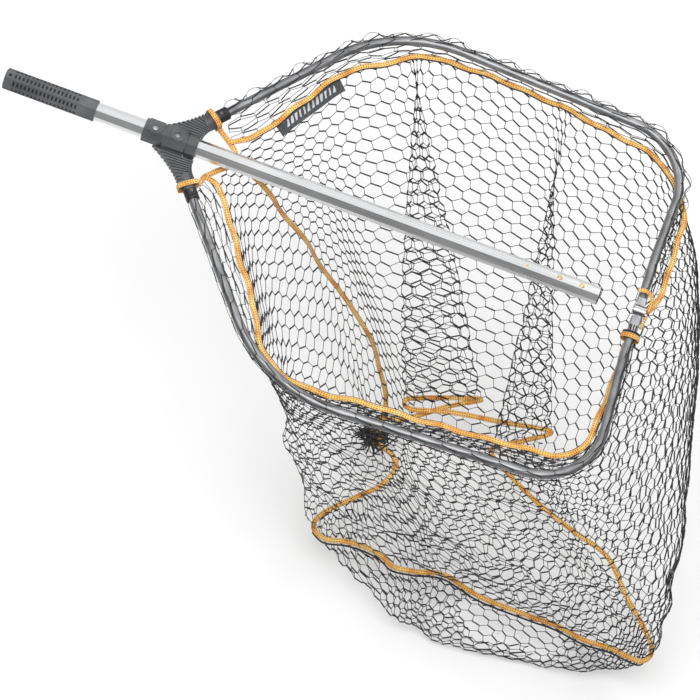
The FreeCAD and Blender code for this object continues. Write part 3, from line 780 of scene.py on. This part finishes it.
def sleeve(side, name, hem_route, front_end, slack, material):
    """The net's top edge goes round the tube and back to the hem tape. Where it has slack, it hangs in small
    loops outside the tube."""
    tube = hoop_route(side, front_end, 4.0)
    length = sum((b - a).length for a, b in zip(tube, tube[1:]))
    cells = int(length / SLEEVE_PITCH)
    strands = Strands()
    up = Vector((0, 0, 1))
    reach = TUBE_RADIUS + SLEEVE_GAP

    def surface(u, v):
        share = min(max(u / cells, 0.0), 1.0)
        position = share * (len(tube) - 1)
        index = min(int(position), len(tube) - 2)
        centre = tube[index].lerp(tube[index + 1], position - index)
        along = tube[index + 1] - tube[index]
        outward = Vector((along.y, -along.x, 0)).normalized()
        if outward.dot(centre - HOOP_MIDDLE) < 0:
            outward = -outward
        matched = hem_route[round(share * (len(hem_route) - 1))]
        # In the last seventh at each end, the net spreads to meet the hem's own ends.
        near_end = max(1 - 7 * share, 7 * share - 6, 0.0)
        inner = nearest(hem_route, centre).lerp(matched, near_end) - up * SLEEVE_DROP
        drop = (inner - centre).length
        turn = math.pi * reach
        walked = v / SLEEVE_ROWS * (2 * drop + turn)
        if walked < drop:
            return inner.lerp(centre + up * reach, walked / drop)
        if walked > drop + turn:
            return (centre - up * reach).lerp(inner, (walked - drop - turn) / drop)
        angle = (walked - drop) / reach
        # One loop hangs from each cell, leaning with the rows, and some loops are larger than others.
        hang = slack * (math.sin(math.pi * (u + 0.25 * v)) ** 2) * (1 + 0.35 * math.sin(2.3 * u))
        swell = SLEEVE_SWELL + hang * math.sin(angle) ** 2
        return centre + up * (reach * math.cos(angle)) + outward * ((reach + swell) * math.sin(angle))

    def keep(start, end, doubled):
        points = []
        for step in range(SLEEVE_STEPS + 1):
            share = step / SLEEVE_STEPS
            u = start[0] + (end[0] - start[0]) * share
            v = start[1] + (end[1] - start[1]) * share
            points.append(place(*surface(u, v)))
        strands.add(points, SLEEVE_TWINE * strand_radius(doubled))

    hex_net(cells, SLEEVE_ROWS, False, keep, SLEEVE_SEED + side)
    cord = [p + (HOOP_MIDDLE - p).normalized() * HEM_CORD_IN - up * HEM_CORD_DOWN for p in hem_route[::3]]
    strands.add([place(*p) for p in cord], HEM_CORD_RADIUS * MM)
    piece = strands.piece(name, material, body_of(side))


# ---- tapes ----

def tape(name, route, facing, material, body, width=TAPE_WIDTH):
    """A tape along a route. facing is the way its flat side looks, or a function that gives it at a share."""
    vertices = []
    faces = []
    uvs = []
    outline = []
    half = width / 2
    for number in range(5):
        across = -half + width * number / 4
        rise = TAPE_THICKNESS / 2 + TAPE_CROWN * (1 - (across / half) ** 2)
        outline.append((across, rise))
    for number in range(5):
        across = half - width * number / 4
        outline.append((across, -TAPE_THICKNESS / 2))
    ring = len(outline)
    walked = 0.0
    for index, point in enumerate(route):
        before = route[max(index - 1, 0)]
        after = route[min(index + 1, len(route) - 1)]
        along = (after - before).normalized()
        share = index / (len(route) - 1)
        up = Vector(facing(share)) if callable(facing) else Vector(facing)
        up = (up - along * up.dot(along)).normalized()
        side = along.cross(up)
        if index:
            walked += (point - before).length
        for across, rise in outline:
            vertices.append(place(*(point + side * across + up * rise)))
            uvs.append((walked, across))
        if index:
            start = (index - 1) * ring
            for number in range(ring):
                follow = (number + 1) % ring
                faces.append((start + number, start + follow, start + ring + follow, start + ring + number))
    faces.append(tuple(reversed(range(ring))))
    last = (len(route) - 1) * ring
    faces.append(tuple(last + n for n in range(ring)))
    piece = new_piece(name, vertices, faces, material, body, uvs)
    return piece


def gathered(route):
    """The sewing draws the hem in, so that it wanders from side to side between its two ends."""
    result = []
    last = len(route) - 1
    for index, point in enumerate(route):
        along = (route[min(index + 1, last)] - route[max(index - 1, 0)]).normalized()
        fade = min(index, last - index, HEM_FADE) / HEM_FADE
        sway = sum(reach * math.sin(index / length) for reach, length in HEM_WAVES)
        result.append(point + along.cross(Vector((0, 0, 1))) * sway * fade)
    return result


def left_hem_route():
    points = [Vector(LEFT_HEM_START)] + hem_points(LEFT_HEM) + [Vector(LEFT_HEM_END)]
    return gathered(smooth_route(points, ROUTE_STEP))


def right_hem_route():
    start = [Vector(p) for p in RIGHT_HEM_START]
    points = start + hem_points(RIGHT_HEM) + [Vector(RIGHT_HEM_END)]
    return gathered(smooth_route(points, ROUTE_STEP))


def hem_tapes(material):
    up = (0, 0, 1)
    piece = tape("hem_tape_left", left_hem_route(), up, material, "left_half")
    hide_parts("left_hem_tape")
    piece = tape("hem_tape_right", right_hem_route(), up, material, "right_half")
    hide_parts("right_hem_tape")


def yoke_strap(side, name, node, tail, material):
    """A tape sewn round the end of the arm. Its tail runs straight on to the hem, and under the pole."""
    mirror = Vector((1, side, 1))
    up = Vector((0, 0, 1))
    along = arm_direction() * mirror
    across = arm_direction().cross(up) * mirror
    centre = Vector((*SOCKET, FRAME_Z)) * mirror + along * STRAP_AHEAD
    loop = []
    for step in range(SEWN_STEPS + 1):
        angle = math.tau * step / SEWN_STEPS
        c = math.cos(angle)
        s = math.sin(angle)
        x = math.copysign(abs(c) ** STRAP_POWER, c) * STRAP_REACH
        z = math.copysign(abs(s) ** STRAP_POWER, s) * STRAP_HEIGHT
        loop.append(centre + across * x + up * z)

    def outward(share):
        spoke = loop[round(share * SEWN_STEPS)] - centre
        return spoke - along * spoke.dot(along)

    ring = tape(name, loop, outward, material, body_of(side))
    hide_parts(node)
    # The tail starts inside the loop's inner side and comes out below it.
    inner = centre + across * (STRAP_REACH - 1.5)
    route = [inner + up * 5, inner + across * 5 - up * 3] + [Vector(p) for p in tail]
    lean = across * 0.5 + up
    tape(name + "_tail", smooth_route(route, ROUTE_STEP), tuple(lean), material, body_of(side))


def hinge_loops(material):
    """The tapes that close the hem's two ends round the front hinge."""
    left = smooth_route([Vector(p) for p in LEFT_HINGE_LOOP], 2.5)
    piece = tape("hinge_loop_left", left, (0.35, 0.1, 1), material, "left_half", width=7.5)
    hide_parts("left_hinge_loop")
    right = smooth_route([Vector(p) for p in RIGHT_HINGE_LOOP], 2.5)
    piece = tape("hinge_loop_right", right, (0.7, 0, 0.7), material, "right_half", width=6.0)
    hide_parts("right_hinge_loop")


def ferrule_wrap(material):
    """The sewn band round the end of the right tube, over the net."""
    centre = Vector((FRONT_X, WRAP_Y, FRAME_Z))
    loop = []
    for step in range(SEWN_STEPS + 1):
        angle = math.tau * step / SEWN_STEPS
        loop.append(centre + Vector((WRAP_REACH * math.cos(angle), 0, WRAP_HEIGHT * math.sin(angle))))

    def outward(share):
        return loop[round(share * SEWN_STEPS)] - centre

    piece = tape("ferrule_wrap", loop, outward, material, "right_half", width=8.6)
    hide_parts("ferrule_tape")


def bottom_edge(material):
    """The tape along the bottom's edge. Its far side hangs in folds, as the net above it does."""
    points = [Vector(p) + Vector((0, 0, 3)) for p in NEAR_TAPE + FAR_TAPE]
    route = smooth_route(points, ROUTE_STEP, True)
    piece = tape("bottom_edge", route, (0.0, -0.45, 0.9), material, "right_half")
    flatten(piece)
    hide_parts("bottom_edge_tape")


def centre_line(material):
    """The tape that runs from the yoke's straps down the rear wall to the bottom's edge."""
    route = smooth_route([Vector(p) for p in CENTRE_TAPE], ROUTE_STEP)
    piece = tape("centre_line", route, (-0.45, -0.35, 0.8), material, "right_half")
    flatten(piece)
    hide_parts("centre_tape")


def label(material):
    """The woven tag, which hangs from the hem and bends over the net below it."""
    hem = smooth_route(hem_points(range(1, 5)), ROUTE_STEP)
    start = hem.index(nearest(hem, Vector(LABEL_START)))
    last = len(hem) - 1
    steps = 36
    rows = 8
    vertices = []
    faces = []
    uvs = []
    for layer in (0, 1):
        for i in range(steps + 1):
            walked = LABEL_LENGTH * i / steps
            index = start + round(walked / ROUTE_STEP)
            along = (hem[min(index + 6, last)] - hem[max(index - 6, 0)]).normalized()
            inward = Vector((along.y, -along.x, 0))
            for j in range(rows + 1):
                drop = LABEL_HEIGHT * j / rows
                wave = LABEL_WAVE * math.sin(walked / LABEL_WAVE_PACE) * j / rows
                sag = wave - LABEL_BELOW - drop * LABEL_DOWN - layer * LABEL_THICKNESS
                reach = LABEL_BEYOND + drop * LABEL_INWARD
                point = hem[min(index, last)] + inward * reach + Vector((0, 0, sag))
                vertices.append(place(*point))
                uvs.append((walked, drop - LABEL_HEIGHT / 2))
    ring = rows + 1
    sheet_size = (steps + 1) * ring
    for i in range(steps):
        for j in range(rows):
            a = i * ring + j
            faces.append((a, a + 1, a + ring + 1, a + ring))
            b = a + sheet_size
            faces.append((b, b + ring, b + ring + 1, b + 1))
    rim = list(range(ring)) + [i * ring + rows for i in range(1, steps + 1)]
    rim += [steps * ring + j for j in reversed(range(rows))] + [i * ring for i in reversed(range(1, steps))]
    for a, b in zip(rim, rim[1:] + rim[:1]):
        faces.append((b, a, a + sheet_size, b + sheet_size))
    piece = new_piece("woven_label", vertices, faces, material, "left_half", uvs)
    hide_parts("label_tag")


# ---- hard pieces ----

def finish_node(node, material):
    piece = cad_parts[node]
    piece.data.materials.clear()
    piece.data.materials.append(material)


def soften_edges(node, width):
    """A small rounding of the CAD piece's sharp edges, for the light to catch."""
    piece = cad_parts[node]
    bevel = piece.modifiers.new("edge", "BEVEL")
    bevel.width = width * MM
    bevel.segments = 2
    bevel.limit_method = "ANGLE"
    bevel.angle_limit = math.radians(35)


def hard_pieces():
    pole = drawn_aluminium()
    black = moulded("black_plastic", (0.008, 0.008, 0.009), (0.022, 0.022, 0.024), 1200, 0.42)
    yoke = moulded("yoke_plastic", (0.062, 0.065, 0.069), (0.125, 0.128, 0.132), 1000, 0.46)
    bush = moulded("bush_plastic", (0.38, 0.39, 0.39), (0.5, 0.5, 0.49), 1000, 0.4)
    hoop = anodised("anodised_tube", (0.17, 0.173, 0.18), (0.34, 0.343, 0.35), 0.33)
    steel = bare_metal("hinge_metal", (0.36, 0.365, 0.38), (0.52, 0.525, 0.535), 0.26)
    rivet = bare_metal("rivet_metal", (0.10, 0.10, 0.105), (0.20, 0.20, 0.205), 0.35)
    spring = bare_metal("spring_steel", (0.35, 0.35, 0.36), (0.55, 0.55, 0.56), 0.3)
    brass = bare_metal("brass", (0.55, 0.40, 0.12), (0.88, 0.70, 0.32), 0.2)
    rubber = moulded("band_rubber", (0.008, 0.008, 0.008), (0.02, 0.02, 0.02), 900, 0.5)
    finishes = {
        "pole_tube": pole, "grip": grip_rubber(), "nose_plug": black,
        "snap_spring": spring, "spring_rivet": brass, "rear_button": brass, "front_button": brass,
        "yoke_bush": bush, "left_arm": yoke, "right_arm": yoke,
        "left_frame_tube": hoop, "right_frame_tube": hoop,
        "left_tube_rivet": rivet, "right_tube_rivet": rivet,
        "left_socket_clip": black, "right_socket_clip": black,
        "hinge_fork": steel, "hinge_pin": steel, "hinge_tongue": steel,
        "front_ferrule": fluted_metal(), "ferrule_band": rubber,
    }
    for node, material in finishes.items():
        finish_node(node, material)
    for node in ("left_arm", "right_arm", "pole_tube", "hinge_fork", "hinge_tongue"):
        soften_edges(node, 0.5)


# ---- studio ----

def floor():
    gap = 0.012
    reach = 6.0
    mesh = bpy.data.meshes.new("floor")
    centre = Vector((0.6, 0, CAD_LOW[2] - gap))
    corners = [centre + Vector((x, y, 0)) * reach for x, y in ((-1, -1), (1, -1), (1, 1), (-1, 1))]
    mesh.from_pydata([tuple(c) for c in corners], [], [(0, 1, 2, 3)])
    m = Nodes("studio_floor")
    m.set(Roughness=0.9)
    cloud = m.noise((1, 1, 1), 3.0, 3.0)
    m.link(m.ramp(cloud, (0.3, (0.90, 0.90, 0.90)), (0.7, (0.93, 0.93, 0.93))), "Base Color")
    mesh.materials.append(m.material)
    piece = bpy.data.objects.new("floor", mesh)
    bpy.context.scene.collection.objects.link(piece)


def area_light(name, position, target, size, power):
    data = bpy.data.lights.new(name, "AREA")
    data.shape = "RECTANGLE"
    data.size, data.size_y = size
    data.energy = power
    light = bpy.data.objects.new(name, data)
    light.location = position
    light.rotation_euler = (Vector(target) - Vector(position)).to_track_quat("-Z", "Y").to_euler()
    bpy.context.scene.collection.objects.link(light)


def lights():
    """Three soft lamps. The sky is bright overhead and dark lower down, which gives metal its contrast."""
    centre = (0.65, 0.0, -0.1)
    area_light("overhead", (0.5, -0.7, 2.7), centre, (2.6, 1.6), 60)
    area_light("rear", (1.6, 1.9, 1.6), centre, (1.6, 1.0), 14)
    area_light("side", (-1.8, 0.6, 1.8), centre, (1.4, 1.4), 10)
    world = bpy.data.worlds.new("studio")
    world.use_nodes = True
    tree = world.node_tree
    background = tree.nodes["Background"]
    background.inputs["Strength"].default_value = 1.0
    ramp = tree.nodes.new("ShaderNodeValToRGB")
    for element, (position, grey) in zip(ramp.color_ramp.elements, ((0.68, 0.07), (0.93, 1.0))):
        element.position = position
        element.color = (grey, grey, grey, 1.0)
    split = tree.nodes.new("ShaderNodeSeparateXYZ")
    height = tree.nodes.new("ShaderNodeMath")
    height.operation = "MULTIPLY_ADD"
    height.inputs[1].default_value = 0.5
    height.inputs[2].default_value = 0.5
    tree.links.new(tree.nodes.new("ShaderNodeTexCoord").outputs["Generated"], split.inputs["Vector"])
    tree.links.new(split.outputs["Z"], height.inputs[0])
    tree.links.new(height.outputs["Value"], ramp.inputs["Fac"])
    tree.links.new(ramp.outputs["Color"], background.inputs["Color"])
    bpy.context.scene.world = world
    bpy.context.scene.view_settings.view_transform = "Standard"


def camera():
    """A long lens, high above the object's right side and rolled so that the pole runs down to the right."""
    data = bpy.data.cameras.new("camera")
    data.sensor_width = 36.0
    data.lens = 149.1
    data.clip_end = 50.0
    heading = Matrix.Rotation(math.radians(-CAMERA_HEADING), 4, "Z")
    tilt = Matrix.Rotation(math.radians(90 - CAMERA_ELEVATION), 4, "X")
    roll = Matrix.Rotation(math.radians(CAMERA_ROLL), 4, "Z")
    back = Matrix.Translation((0, 0, CAMERA_DISTANCE * MM))
    eye = bpy.data.objects.new("camera", data)
    eye.matrix_world = Matrix.Translation(place(*CAMERA_TARGET)) @ heading @ tilt @ back @ roll
    bpy.context.scene.collection.objects.link(eye)
    bpy.context.scene.camera = eye


hard_pieces()
ORANGE = webbing()
TWINE = twine()
hem_tapes(ORANGE)
yoke_strap(1, "yoke_strap_left", "left_yoke_strap", LEFT_TAIL, ORANGE)
yoke_strap(-1, "yoke_strap_right", "right_yoke_strap", RIGHT_TAIL, ORANGE)
hinge_loops(ORANGE)
ferrule_wrap(ORANGE)
bottom_edge(ORANGE)
centre_line(ORANGE)
label(label_cloth())
sleeve(1, "net_sleeve_left", left_hem_route(), LEFT_TUBE_END, LEFT_SLACK, TWINE)
sleeve(-1, "net_sleeve_right", right_hem_route(), RIGHT_TUBE_END, RIGHT_SLACK, TWINE)
bag(TWINE)
floor()
lights()
camera()
